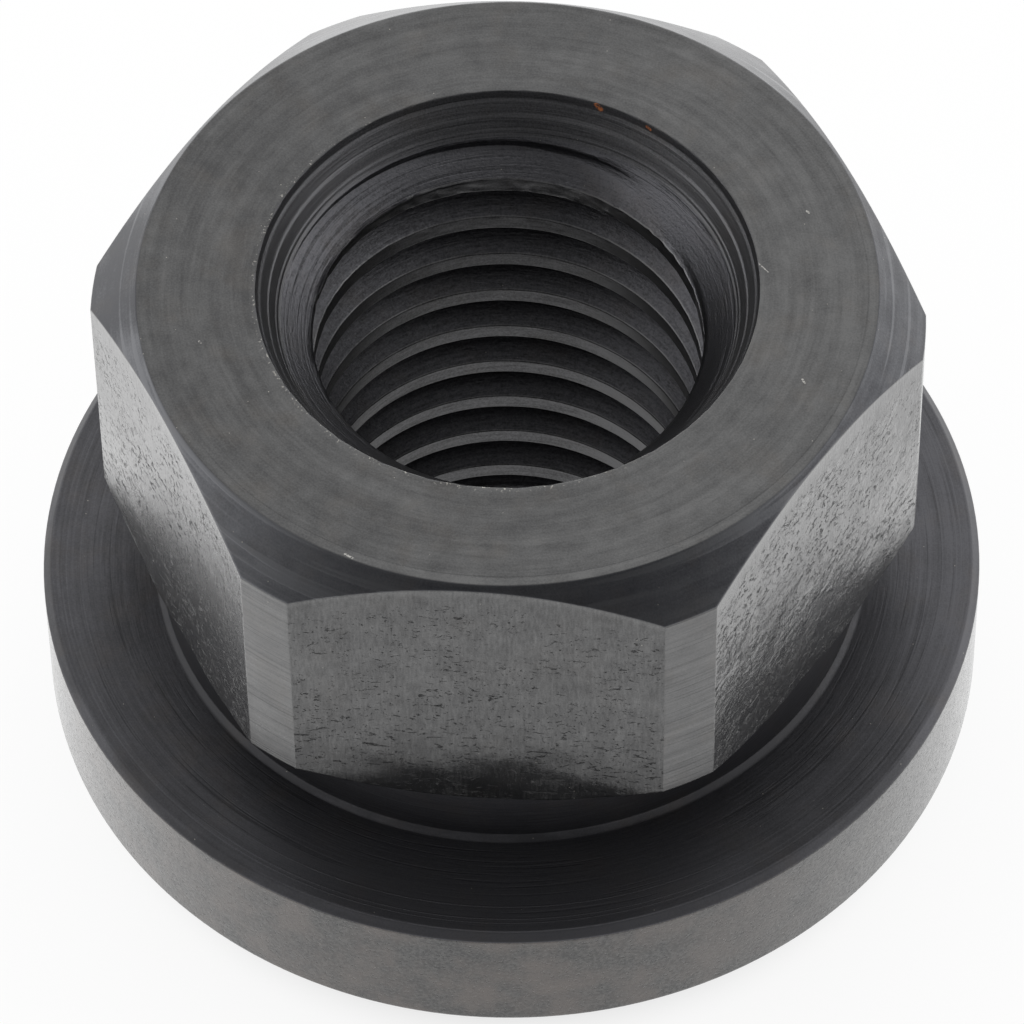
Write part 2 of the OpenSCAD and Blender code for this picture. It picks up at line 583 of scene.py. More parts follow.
    def lay_flats(self, mesh: bpy.types.Mesh, at: np.ndarray, areas: np.ndarray) -> None:
        """Write a UV map that lays the six flats side by side: distance along the flat, and height, in millimetres.

        The distance is the radius times the sine of the angle off the flat's middle, plus a step for each
        flat before it.

        Args:
            mesh: The nut's mesh.
            at: Place of each face corner, in millimetres.
            areas: Area of each face corner.
        """
        theta = np.arctan2(at[:, 1], at[:, 0])
        along = np.hypot(at[:, 0], at[:, 1]) * np.sin(self.off_flat(theta))
        plan = np.stack([along + PLAN_STEP * self.flat_number(theta), at[:, 2]], axis=1)
        plan[areas != Area.FLAT.value] = 0
        layer = mesh.uv_layers.new(name=PLAN_NAME)
        layer.data.foreach_set("uv", plan.astype(np.float32).ravel())


@dataclass
class Place:
    """Where a point of the nut is, as sockets, with the patterns that are read there.

    The place, radius and height are in millimetres, and the turn is the direction away from the axis.
    """

    tree: bpy.types.NodeTree
    point: Socket = field(init=False)
    radius: Socket = field(init=False)
    height: Socket = field(init=False)
    turn: Socket = field(init=False)

    def __post_init__(self) -> None:
        """Work the place out from Object coordinates."""
        vector, tree = "ShaderNodeVectorMath", self.tree
        where = add(tree, "ShaderNodeTexCoord", {}).outputs["Object"]
        self.point = add(tree, vector, {"operation": "SCALE", "Scale": 1 / MM}, {0: where}).outputs["Vector"]
        level = add(tree, vector, {"operation": "MULTIPLY", 1: (1, 1, 0)}, {0: self.point}).outputs["Vector"]
        self.radius = add(tree, vector, {"operation": "LENGTH"}, {0: level}).outputs["Value"]
        self.turn = add(tree, vector, {"operation": "NORMALIZE"}, {0: level}).outputs["Vector"]
        self.height = add(tree, "ShaderNodeSeparateXYZ", {}, {0: self.point}).outputs["Z"]

    def total(self, base: float, parts: list[tuple]) -> Socket:
        """Add to a base, for each part, the product of its levels times its weight.

        Args:
            base: The level with no parts.
            parts: For each part, one or more sockets and then the weight.

        Returns:
            The sum.
        """
        last = None
        for level, *others, weight in parts:
            for other in others:
                level = add(self.tree, "ShaderNodeMath", {"operation": "MULTIPLY"}, {0: level, 1: other}).outputs[0]
            start = {2: base} if last is None else {}
            links = {0: level} if last is None else {0: level, 2: last}
            last = add(self.tree, "ShaderNodeMath", {"operation": "MULTIPLY_ADD", 1: weight, **start}, links).outputs[0]
        return last

    def mask(self, level: Socket, start: float, end: float, *within: Socket) -> Socket:
        """Share of the surface that a mark covers: a smooth step of a level, times the masks it lies within.

        Args:
            level: What the mark is read from.
            start: Level at which the mark starts, which may be the higher one.
            end: Level from which it covers everything.
            within: Masks that hold it.

        Returns:
            A level from nought to one.
        """
        settings = {"interpolation_type": "SMOOTHSTEP", "From Min": start, "From Max": end}
        share = add(self.tree, "ShaderNodeMapRange", settings, {"Value": level}).outputs["Result"]
        return self.total(0.0, [(share, *within, 1.0)]) if within else share

    def facing(self, direction: tuple[float, float, float], start: float, end: float, *within: Socket) -> Socket:
        """A mask by side: the smooth step of the cosine between the point's direction and a given one."""
        cosine = add(self.tree, "ShaderNodeVectorMath", {"operation": "DOT_PRODUCT", 1: direction}, {0: self.turn})
        return self.mask(cosine.outputs["Value"], start, end, *within)

    def across(self, radius_share: float, height_share: float, shift: float = 0.0) -> Socket:
        """A distance across turned lines: shares of the radius and of the height, in millimetres, plus a shift."""
        return self.total(shift, [(self.height, height_share), (self.radius, radius_share)])

    def read(self, point: Socket, scale: tuple, shift: tuple | Socket, **settings: float) -> Socket:
        """Noise read at a point times a scale plus a shift.

        Args:
            point: Where it is read.
            scale: Features for each unit of the point, along each axis.
            shift: What is added, as numbers or a socket.
            settings: The noise's own, such as Detail.

        Returns:
            A level from nought to one.
        """
        fixed, links = {"operation": "MULTIPLY_ADD", 1: scale}, {0: point}
        if isinstance(shift, Socket):
            links[2] = shift
        else:
            fixed[2] = shift
        at = add(self.tree, "ShaderNodeVectorMath", fixed, links).outputs["Vector"]
        named = {"Scale": 1.0, "Roughness": 0.6, **settings}
        return add(self.tree, "ShaderNodeTexNoise", named, {"Vector": at}).outputs["Fac"]

    def lines(self, across: Socket, pitch: float, turns: float, seed: float = 0.0, detail: float = 2.0) -> Socket:
        """Lines that run round the axis: noise read at the direction times turns, and the distance over the pitch.

        Args:
            across: Distance across the lines, in millimetres.
            pitch: Spacing of the lines, in millimetres.
            turns: How soon a line changes along its length, in changes for a radian.
            seed: Shift that picks other lines.
            detail: Octaves of finer lines.

        Returns:
            A level from nought to one.
        """
        step = self.total(seed, [(across, 1 / pitch)])
        up = add(self.tree, "ShaderNodeCombineXYZ", {}, {"Z": step}).outputs["Vector"]
        return self.read(self.turn, (turns,) * 3, up, Detail=detail, Roughness=0.65)

    def grain(self, size: float, seed: float = 0.0, detail: float = 2.0) -> Socket:
        """Grain of one size in millimetres: noise read at the place over that size."""
        return self.read(self.point, (1 / size,) * 3, (seed, -seed, 0.7 * seed), Detail=detail)

    def dust(self, size: float, share: float) -> Socket:
        """Specks, one in each cell of a cellular pattern whose own random number is under the share.

        Args:
            size: How wide a speck is at most, in millimetres.
            share: Share of the cells that have one.

        Returns:
            A level from nought to one.
        """
        cells = add(self.tree, "ShaderNodeTexVoronoi", {"Scale": 1 / (4 * size)}, {"Vector": self.point})
        pick = add(self.tree, "ShaderNodeSeparateColor", {}, {"Color": cells.outputs["Color"]})
        chosen = self.mask(pick.outputs["Red"], share + 0.01, share)
        return self.mask(cells.outputs["Distance"], 0.16, 0.08, chosen)

    def scratch(self, start: tuple, end: tuple, width: float, *within: Socket) -> Socket:
        """A straight mark: how near the point is to the line from start to end, in millimetres.

        With the point's place P, the share of the way is (P - start) . (end - start) over the length squared,
        held between nought and one, and the mark covers what lies within the width of that place.

        Args:
            start: One end.
            end: The other end.
            width: Distance from the line at which the mark ends.
            within: Masks that hold it.

        Returns:
            A level from nought to one.
        """
        vector, span = "ShaderNodeVectorMath", Vector(end) - Vector(start)
        along_it = {"operation": "DOT_PRODUCT", 1: span / span.length_squared}
        off = add(self.tree, vector, {"operation": "SUBTRACT", 1: start}, {0: self.point}).outputs["Vector"]
        share = add(self.tree, vector, along_it, {0: off}).outputs["Value"]
        held = add(self.tree, "ShaderNodeClamp", {}, {"Value": share}).outputs["Result"]
        along = add(self.tree, vector, {"operation": "SCALE", 0: span}, {"Scale": held}).outputs["Vector"]
        away = add(self.tree, vector, {"operation": "DISTANCE"}, {0: off, 1: along}).outputs["Value"]
        return self.mask(away, width, width * 0.4, *within)


@dataclass(frozen=True)
class Oxide:
    """Black oxide on steel under its film of oil: a dark metal under a clear coat.

    The coat gives the strong sheen at low angles, and the dark metal the satin grey of the rest. The tone
    of the surface runs from one grey to another, and its height from the deepest mark to the highest line,
    which are the depth apart. The oxide's own grain is a few thousandths of a millimetre, too fine to show,
    so every finish draws it about 0.1 mm wide, which is two pixels of the render.
    """

    name: str
    dark: str
    light: str
    roughness: float
    coat_roughness: float
    depth: float
    roughness_swing: float = 0.08
    patina: str = "625648"
    patina_size: float = 2.1
    patina_share: float = 0.12
    dust: str = "A8A49C"
    dust_size: float = 0.05
    dust_share: float = 0.006

    def surface(self, at: Place) -> tuple[Socket, Socket]:
        """Tone and height of the surface, each from about nought to one. Each finish has its own."""
        raise NotImplementedError

    def spots(self, at: Place) -> Spots:
        """Marks of another colour that lie over the oxide, as masks with their colours."""
        return []

    def common(self, at: Place) -> Spots:
        """What lies over every surface: faint brown patina in patches, and dust.

        Args:
            at: Where the point is.

        Returns:
            Masks with their colours.
        """
        patch = at.mask(at.grain(self.patina_size, seed=61, detail=4), 0.48, 0.72)
        share = at.total(0.0, [(patch, self.patina_share)])
        return [(share, self.patina), (at.dust(self.dust_size, self.dust_share), self.dust)]

    def make(self) -> bpy.types.Material:
        """Make the material.

        Returns:
            The material, named for the steel and how this surface was made.
        """
        material = bpy.data.materials.new(self.name)
        material.use_nodes = True
        tree = material.node_tree
        tree.nodes.clear()
        at = Place(tree)
        tone, height = self.surface(at)
        mix, colours = "ShaderNodeMix", {"data_type": "RGBA"}
        ends = {MIX_FROM: linear(self.dark), MIX_TO: linear(self.light)}
        colour = add(tree, mix, {**colours, **ends}, {0: tone}).outputs[MIX_OUT]
        for mask, shade in self.common(at) + self.spots(at):
            over = {**colours, MIX_TO: linear(shade)}
            colour = add(tree, mix, over, {0: mask, MIX_FROM: colour}).outputs[MIX_OUT]
        swing = {"To Min": self.roughness + self.roughness_swing, "To Max": self.roughness - self.roughness_swing}
        rough = add(tree, "ShaderNodeMapRange", swing, {"Value": tone}).outputs["Result"]
        relief = {"Strength": 1.0, "Distance": self.depth * MM}
        bump = add(tree, "ShaderNodeBump", relief, {"Height": height}).outputs["Normal"]
        shader = add(
            tree,
            "ShaderNodeBsdfPrincipled",
            {"Metallic": 1.0, "Coat Weight": 1.0, "Coat Roughness": self.coat_roughness},
            {"Base Color": colour, "Roughness": rough, "Normal": bump, "Coat Normal": bump},
        )
        add(tree, "ShaderNodeOutputMaterial", {}, {"Surface": shader.outputs["BSDF"]})
        return material


@dataclass(frozen=True)
class Faced(Oxide):
    """Faced steel: the tool's arcs are all but gone under the oxide, which gives an even satin grey.

    A painted highlight lies on the outer edge at the front right. A few scratches and a torn burr along the mouth's
    left edge catch the light.
    """

    arc_pitch: float = 0.13
    slow_pitch: float = 0.55
    grain_size: float = 0.085
    mottle_size: float = 1.0
    outer: float = 15.12
    groove_half: float = 0.035
    mouth: float = 10.575
    level: float = 28.575
    bright: str = "B5B3AE"
    burr: str = "B0ADA6"
    scratches: tuple[tuple[float, float, float, float, float], ...] = (
        (10.33, 2.04, 10.83, 1.54, 0.035),
        (-5.45, -14.4, -5.1, -14.6, 0.06),
        (12.26, 4.93, 12.34, 4.85, 0.07),
        (12.6, -4.02, 12.7, -4.2, 0.06),
        (-12.55, -3.93, -12.47, -3.99, 0.06),
    )

    def surface(self, at: Place) -> tuple[Socket, Socket]:
        """Fine grain and mottling over faint rings and a few slow arcs, with painted shade towards -X.

        A shallow groove runs inside the painted highlight on the outer edge at the front right.

        Args:
            at: Where the point is.

        Returns:
            The tone and the height.
        """
        across = at.across(1, 0)
        fine = at.lines(across, self.arc_pitch, 4.5)
        slow = at.lines(across, self.slow_pitch, 1.6, seed=31, detail=3)
        grain = at.grain(self.grain_size)
        mottle = at.grain(self.mottle_size, seed=4, detail=6)
        # x paints shade: the face is darker towards -X.
        x = add(at.tree, "ShaderNodeSeparateXYZ", {}, {0: at.point}).outputs["X"]
        # Painted highlight: edge and front make the outer edge lighter, only on the side towards the front right.
        front = at.facing((0.6, -0.8, 0), -0.35, 0.55)
        edge = at.mask(at.radius, self.outer - 0.02, self.outer + 0.03, front)
        here = {"operation": "COMPARE", 1: self.outer, 2: self.groove_half}
        groove = add(at.tree, "ShaderNodeMath", here, {0: at.radius}).outputs["Value"]
        tone = [(fine, 0.5), (slow, 1.3), (grain, 1.1), (mottle, 1.1), (x, 0.01), (edge, 0.15), (groove, front, -0.25)]
        height = [(fine, 0.5), (grain, 0.7), (slow, 0.3), (groove, front, -0.6)]
        return at.total(-1.5, tone), at.total(0.0, height)

    def spots(self, at: Place) -> Spots:
        """Bright scratches at their places, and burr specks beside the mouth on the -X side.

        Args:
            at: Where the point is.

        Returns:
            Masks with their colours.
        """
        crumbs = at.mask(at.grain(0.07, seed=25), 0.42, 0.52)
        found = [
            (at.scratch((x0, y0, self.level), (x1, y1, self.level), width, crumbs), self.bright)
            for x0, y0, x1, y1, width in self.scratches
        ]
        side = at.facing((-0.8, -0.6, 0), -0.2, 0.5)
        beside = at.mask(at.radius, self.mouth + 0.3, self.mouth + 0.02, side)
        found.append((at.mask(at.grain(0.13, seed=77), 0.6, 0.68, beside), self.burr))
        return found


@dataclass(frozen=True)
class Turned(Oxide):
    """Turned steel: the feed of the tool leaves lines round the nut, which streak the sheen along them.

    The side, band, score and far are weights in the tone: of the way to +X, the broad bands, the scores, and
    the surface that faces straight to -X. The side and far weights are painted light by side, and painted shade where
    they are below nought.
    """

    pitch: float = 0.16
    turns: float = 3.0
    height_share: float = 1.7
    grain_size: float = 0.09
    mottle_size: float = 1.2
    side: float = 0.0
    score: float = -0.5
    band: float = 0.8
    far: float = 0.0

    def surface(self, at: Place) -> tuple[Socket, Socket]:
        """Lines a pitch apart, broader bands and scores among them, and grain, with painted light by side: a slow
        change along X, and on the side that faces -X.

        Args:
            at: Where the point is.

        Returns:
            The tone and the height.
        """
        across = at.across(1.0, self.height_share)
        fine = at.lines(across, self.pitch, self.turns, detail=3)
        broad = at.lines(across, self.pitch * 4.5, self.turns * 0.6, seed=17)
        scores = at.mask(at.lines(across, self.pitch, self.turns * 0.7, seed=43, detail=1), 0.57, 0.67)
        grain = at.grain(self.grain_size)
        mottle = at.grain(self.mottle_size, seed=3, detail=5)
        # x and the mask facing -X paint light by side, which is painted shade where the side and far weights are below
        # nought.
        x = add(at.tree, "ShaderNodeSeparateXYZ", {}, {0: at.turn}).outputs["X"]
        tone = [(fine, 1.0), (broad, self.band), (scores, self.score), (grain, 0.8), (mottle, 0.9), (x, self.side)]
        tone.append((at.facing((-1, 0, 0), 0.965, 0.99), self.far))
        height = [(fine, 0.6), (broad, 0.08), (grain, 0.3), (scores, 0.6 * self.score)]
        return at.total(-0.8 - 0.5 * self.band, tone), at.total(0.0, height)


@dataclass(frozen=True)
class ColdDrawn(Oxide):
    """Cold-drawn flats: the die leaves a smooth skin with upright streaks, so they are the brightest sides, and painted
    light makes the flats off the front lighter still.

    Small dark dashes show where the steel tore under the die, across the drawing.
    """

    grain_size: float = 0.08
    mottle_size: float = 0.9
    top: float = 28.575
    top_r: float = 15.55
    slope: float = 0.9

    def surface(self, at: Place) -> tuple[Socket, Socket]:
        """Streaks, dashes, pits and gouges on the flats' own plan, all clear of the chamfer's edge.

        The front flat has shallow dashes, and the others deeper pocks as well, with orange peel on the one
        towards +X and -Y. All have gouges near their lower edge and blotchy painted shade there, and the other
        flats a painted highlight belt above it. Painted light makes the other flats lighter, and a painted
        highlight runs under the chamfer's edge. Each pattern is given by its width and height in millimetres.

        Args:
            at: Where the point is.

        Returns:
            The tone and the height.
        """
        plan = add(at.tree, "ShaderNodeUVMap", {"uv_map": PLAN_NAME}).outputs["UV"]

        def read(wide: float, high: float, seed: float, detail: float, bent: float = 0.0) -> Socket:
            """Noise stretched over the plan, with features so wide and so high, in millimetres, and so much bent."""
            return at.read(plan, (1 / wide, 1 / high, 0), (seed, seed * 0.3, 0), Detail=detail, Distortion=bent)

        along = add(at.tree, "ShaderNodeSeparateXYZ", {}, {0: plan}).outputs["X"]
        from_front = at.total(-FRONT_FLAT * PLAN_STEP, [(along, 1.0)])
        off = add(at.tree, "ShaderNodeMath", {"operation": "ABSOLUTE"}, {0: from_front}).outputs["Value"]
        # side marks the flats off the front: it holds their pocks and belt, and in the tone it paints them lighter.
        side = at.mask(off, PLAN_STEP / 2 - 1, PLAN_STEP / 2 + 1)
        # nearer paints light on the flats beside the front, most towards the front.
        nearer = at.mask(off, PLAN_STEP + 6, PLAN_STEP - 8, side)
        peeled = at.mask(along, (FRONT_FLAT + 0.5) * PLAN_STEP - 2, (FRONT_FLAT + 0.5) * PLAN_STEP + 2)
        below = at.across(-self.slope, -1.0, self.top + self.slope * self.top_r)
        clear = at.mask(below, 0.5, 2.0)
        # lip paints a highlight along the chamfer's edge.
        lip = at.mask(below, 0.45, 0.05)
        streak = read(0.12, 0.8, 3, 4)
        band = read(0.6, 6.0, 9, 2)
        peel = read(0.7, 0.5, 21, 4)
        grain = at.grain(self.grain_size)
        mottle = at.grain(self.mottle_size, seed=8, detail=4)
        worn = at.mask(read(2.1, 2.6, 40, 4), 0.4, 0.58, clear)
        dash = at.mask(read(0.42, 0.2, 55, 3, 0.9), 0.62, 0.71)
        pit = at.mask(read(0.2, 0.18, 71, 3, 0.3), 0.64, 0.73)
        marks = add(at.tree, "ShaderNodeMath", {"operation": "MAXIMUM"}, {0: dash, 1: pit}).outputs["Value"]
        pocked = at.mask(read(1.9, 2.4, 64, 3), 0.42, 0.58, side, clear)
        pock = at.mask(read(0.32, 0.3, 33, 4, 0.4), 0.56, 0.66, pocked)
        # lower is a wavy zone over the lower edge, where painted shade darkens all flats and painted light lifts the
        # flats off the front.
        low = at.total(0.0, [(at.height, 1.0), (read(2.6, 9.0, 130, 2), 2.4)])
        lower = at.mask(low, 20.6, 15.4)
        gouge = at.mask(read(0.9, 0.34, 90, 4, 1.0), 0.61, 0.72, at.mask(low, 20.0, 17.6))
        # Blotchy painted shade over the lower zone.
        blotchy_painted_shade = at.total(0.45, [(at.mask(read(2.4, 1.1, 120, 4), 0.4, 0.62), 0.55)])
        # Painted highlight: a lighter belt above the lower zone, on the flats off the front.
        painted_highlight_belt = at.mask(at.height, 22.0, 18.5, at.mask(at.height, 15.6, 17.0), side)
        # side, nearer, lip, the belt and the lower zone's terms in the tone are painted light and shade.
        tone = [(streak, 1.0), (band, 0.4), (peel, 0.2), (grain, 0.67), (mottle, 0.6)]
        tone += [(marks, worn, -0.35), (pock, -0.27), (gouge, -0.33), (blotchy_painted_shade, lower, -0.42)]
        tone += [(painted_highlight_belt, 0.35), (lip, 0.2), (side, 0.26), (nearer, 0.36), (side, lower, 0.2)]
        height = [(streak, 0.12), (peel, peeled, worn, 0.5), (grain, 0.04)]
        height += [(marks, worn, -0.8), (pock, -1.0), (gouge, -0.6)]
        return at.total(-1.14, tone), at.total(0.3, height)


@dataclass(frozen=True)
class FlangeFace(Oxide):
    """The flange's turned face: rough from the tool, so it is the dullest and darkest surface.

    Long fine lines run round it, with short slanting chatter next to the neck and a few grooves outside.
    """

    line_pitch: float = 0.1
    broad_pitch: float = 0.5
    score_pitch: float = 0.17
    grain_size: float = 0.08
    mottle_size: float = 1.8
    grooves: tuple[float, ...] = (18.86, 19.48, 19.68, 20.12)
    groove_half: float = 0.035
    chatter_end: float = 18.2
    foot: float = 15.6

    def surface(self, at: Place) -> tuple[Socket, Socket]:
        """Long lines everywhere, chatter inside its radius, and a narrow rise at each groove's radius. Painted shade
        darkens the face inside the chatter's radius and at the neck's foot, and painted light lifts it towards -Y and
        +X.

        Args:
            at: Where the point is.

        Returns:
            The tone and the height.
        """
        across = at.across(1, 1.2)
        fine = at.lines(across, self.line_pitch, 2.5, detail=3)
        broad = at.lines(across, self.broad_pitch, 1.2, seed=8)
        chatter = at.lines(across, self.line_pitch, 16, seed=23)
        scores = at.mask(at.lines(across, self.score_pitch, 1.8, seed=51, detail=1), 0.6, 0.68)
        # inner holds the chatter and also paints shade near the neck; foot paints shade in the crease at the neck's
        # foot.
        inner = at.mask(at.radius, self.chatter_end + 0.4, self.chatter_end - 0.8)
        foot = at.mask(at.radius, self.foot + 0.08, self.foot - 0.08)
        grain = at.grain(self.grain_size, detail=1)
        mottle = at.grain(self.mottle_size, seed=6, detail=4)
        # Painted light: front and right make the face lighter towards -Y and towards +X.
        front = at.facing((0, -1, 0), 0.75, 0.97)
        right = at.facing((1, 0, 0), 0.8, 0.98)
        tone = [(fine, 1.1), (broad, 0.7), (chatter, inner, 0.8), (grain, 0.8), (mottle, 0.6), (scores, -0.3)]
        tone += [(foot, -0.5), (inner, -0.5), (front, 0.45), (right, 0.4)]
        height = [(fine, 0.45), (broad, 0.15), (chatter, inner, 0.7), (grain, 0.2), (scores, -0.35)]
        for radius in self.grooves:
            here = {"operation": "COMPARE", 1: radius, 2: self.groove_half}
            ring = add(at.tree, "ShaderNodeMath", here, {0: at.radius}).outputs["Value"]
            tone.append((ring, 0.18))
            height.append((ring, 0.5))
        return at.total(-1.15, tone), at.total(0.0, height)


@dataclass(frozen=True)
class BarSkin(Oxide):
    """The flange's rim: the bar's own drawn skin, smooth enough to mirror the floor, with small dark specks.

    A brown tint lies on one side.
    """

    grain_size: float = 0.16
    speck_size: float = 0.18
    mottle_size: float = 1.1
    line_pitch: float = 0.3
    tint: str = "4E4743"
    tint_size: float = 2.5

    def surface(self, at: Place) -> tuple[Socket, Socket]:
        """Grain, specks and slow mottling, with faint lines round the rim.

        Args:
            at: Where the point is.

        Returns:
            The tone and the height.
        """
        grain = at.grain(self.grain_size, detail=4)
        speck = at.mask(at.grain(self.speck_size, seed=12), 0.6, 0.68)
        mottle = at.grain(self.mottle_size, seed=5, detail=4)
        lines = at.lines(at.across(0, 1), self.line_pitch, 1.0, seed=2)
        tone = at.total(-2.15, [(grain, 3.6), (mottle, 1.0), (lines, 0.4), (speck, -1.8)])
        return tone, at.total(0.2, [(grain, 0.7), (lines, 0.1), (speck, -0.7)])

    def spots(self, at: Place) -> Spots:
        """A brown tint towards the front left, where a slow noise lets it.

        Args:
            at: Where the point is.

        Returns:
            Masks with their colours.
        """
        side = at.facing((-0.35, -0.94, 0), 0.1, 0.95)
        return [(at.mask(at.grain(self.tint_size, seed=33, detail=3), 0.35, 0.7, side), self.tint)]


@dataclass(frozen=True)
class Bored(Oxide):
    """The countersink: rings that the boring tool left, rough enough to scatter the light from the mouth."""

    line_pitch: float = 0.07
    broad_pitch: float = 0.22
    grain_size: float = 0.09
    rust: str = "FF9C5C"
    specks: tuple[tuple[tuple, tuple, float], ...] = (
        ((2.95, 10.08, 28.5), (3.15, 10.0, 28.35), 0.15),
        ((5.2, 9.15, 28.4), (5.35, 9.05, 28.35), 0.09),
    )

    def surface(self, at: Place) -> tuple[Socket, Socket]:
        """Fine rings along the cone and grain that follows them, with painted light on both sides towards X.

        Args:
            at: Where the point is.

        Returns:
            The tone and the height.
        """
        across = at.across(0.5, 1.0)
        fine = at.lines(across, self.line_pitch, 2.2, detail=3)
        broad = at.lines(across, self.broad_pitch, 1.1, seed=14, detail=3)
        grain = at.grain(self.grain_size, detail=3)
        x = add(at.tree, "ShaderNodeSeparateXYZ", {}, {0: at.turn}).outputs["X"]
        # Painted light: near the mouth the cone is lighter on the sides towards +X and -X.
        side = at.mask(at.total(0.0, [(x, x, 1.0)]), 0.1, 0.8, at.mask(at.height, 28.2, 27.7))
        tone = at.total(-1.45, [(fine, 1.5), (broad, 1.1), (grain, 1.3), (side, 0.7)])
        return tone, at.total(0.0, [(fine, 0.8), (broad, 0.5), (grain, 0.6)])

    def spots(self, at: Place) -> Spots:
        """Two specks of rust under the mouth's edge on the far side.

        Args:
            at: Where the point is.

        Returns:
            Masks with their colours.
        """
        broken = at.mask(at.grain(0.12, seed=15), 0.36, 0.5)
        return [(at.scratch(start, end, width, broken), self.rust) for start, end, width in self.specks]


@dataclass(frozen=True)
class Tapped(Oxide):
    """The thread as a tap leaves it: torn flanks that stay dull, and crests that the reamer left smoother.

    The torn share scales the tears across the lines, and one more weight adds to the lines and paints light on the +X
    side.
    """

    line_pitch: float = 0.1
    tear_pitch: float = 0.15
    ring_pitch: float = 0.2
    grain_size: float = 0.1
    torn: float = 1.0
    lines_and_side_light: float = 0.0
    ring_from: float = 24.9
    lip_from: float = 25.9

    def surface(self, at: Place) -> tuple[Socket, Socket]:
        """Lines that run round the bore over torn grain, and cutter's rings at the left and on the worn lip. Painted
        light lifts the turns near the mouth, the +X side and the lip.

        Args:
            at: Where the point is.

        Returns:
            The tone and the height.
        """
        across = at.across(1.0, 0.6)
        lines = at.lines(across, self.line_pitch, 3.0, detail=3)
        tear = at.lines(across, self.tear_pitch, 26, seed=7)
        grain = at.grain(self.grain_size, detail=3)
        # cone holds the rings on the left, and in the tone it paints light on the turns near the mouth.
        cone = at.mask(at.height, self.ring_from, self.ring_from + 1.0)
        left = at.facing((-0.94, 0.34, 0), -0.1, 0.7, cone)
        # right and lip paint light on the +X side and on the lip.
        right = at.facing((0.98, 0.2, 0), 0.3, 0.8)
        lip = at.mask(at.height, self.lip_from, self.lip_from + 0.6, right)
        ringed = at.total(0.0, [(left, 1.0), (lip, 1.0)])
        rings = at.mask(at.lines(across, self.ring_pitch, 0.9, seed=91), 0.52, 0.6, ringed)
        # cone, lip and right in the tone are painted light.
        tone = [(lines, 1.1 + self.lines_and_side_light), (tear, 1.1 * self.torn), (grain, 1.6 + 0.5 * (1 - self.torn))]
        tone += [(rings, -0.45), (cone, 0.3), (lip, 0.1), (right, 0.25 + 0.6 * self.lines_and_side_light)]
        height = [(lines, 0.35), (tear, 0.5 * self.torn), (right, cone, tear, -0.25 * self.torn)]
        height += [(grain, 0.5), (rings, -0.3)]
        return at.total(-1.35, tone), at.total(0.0, height)


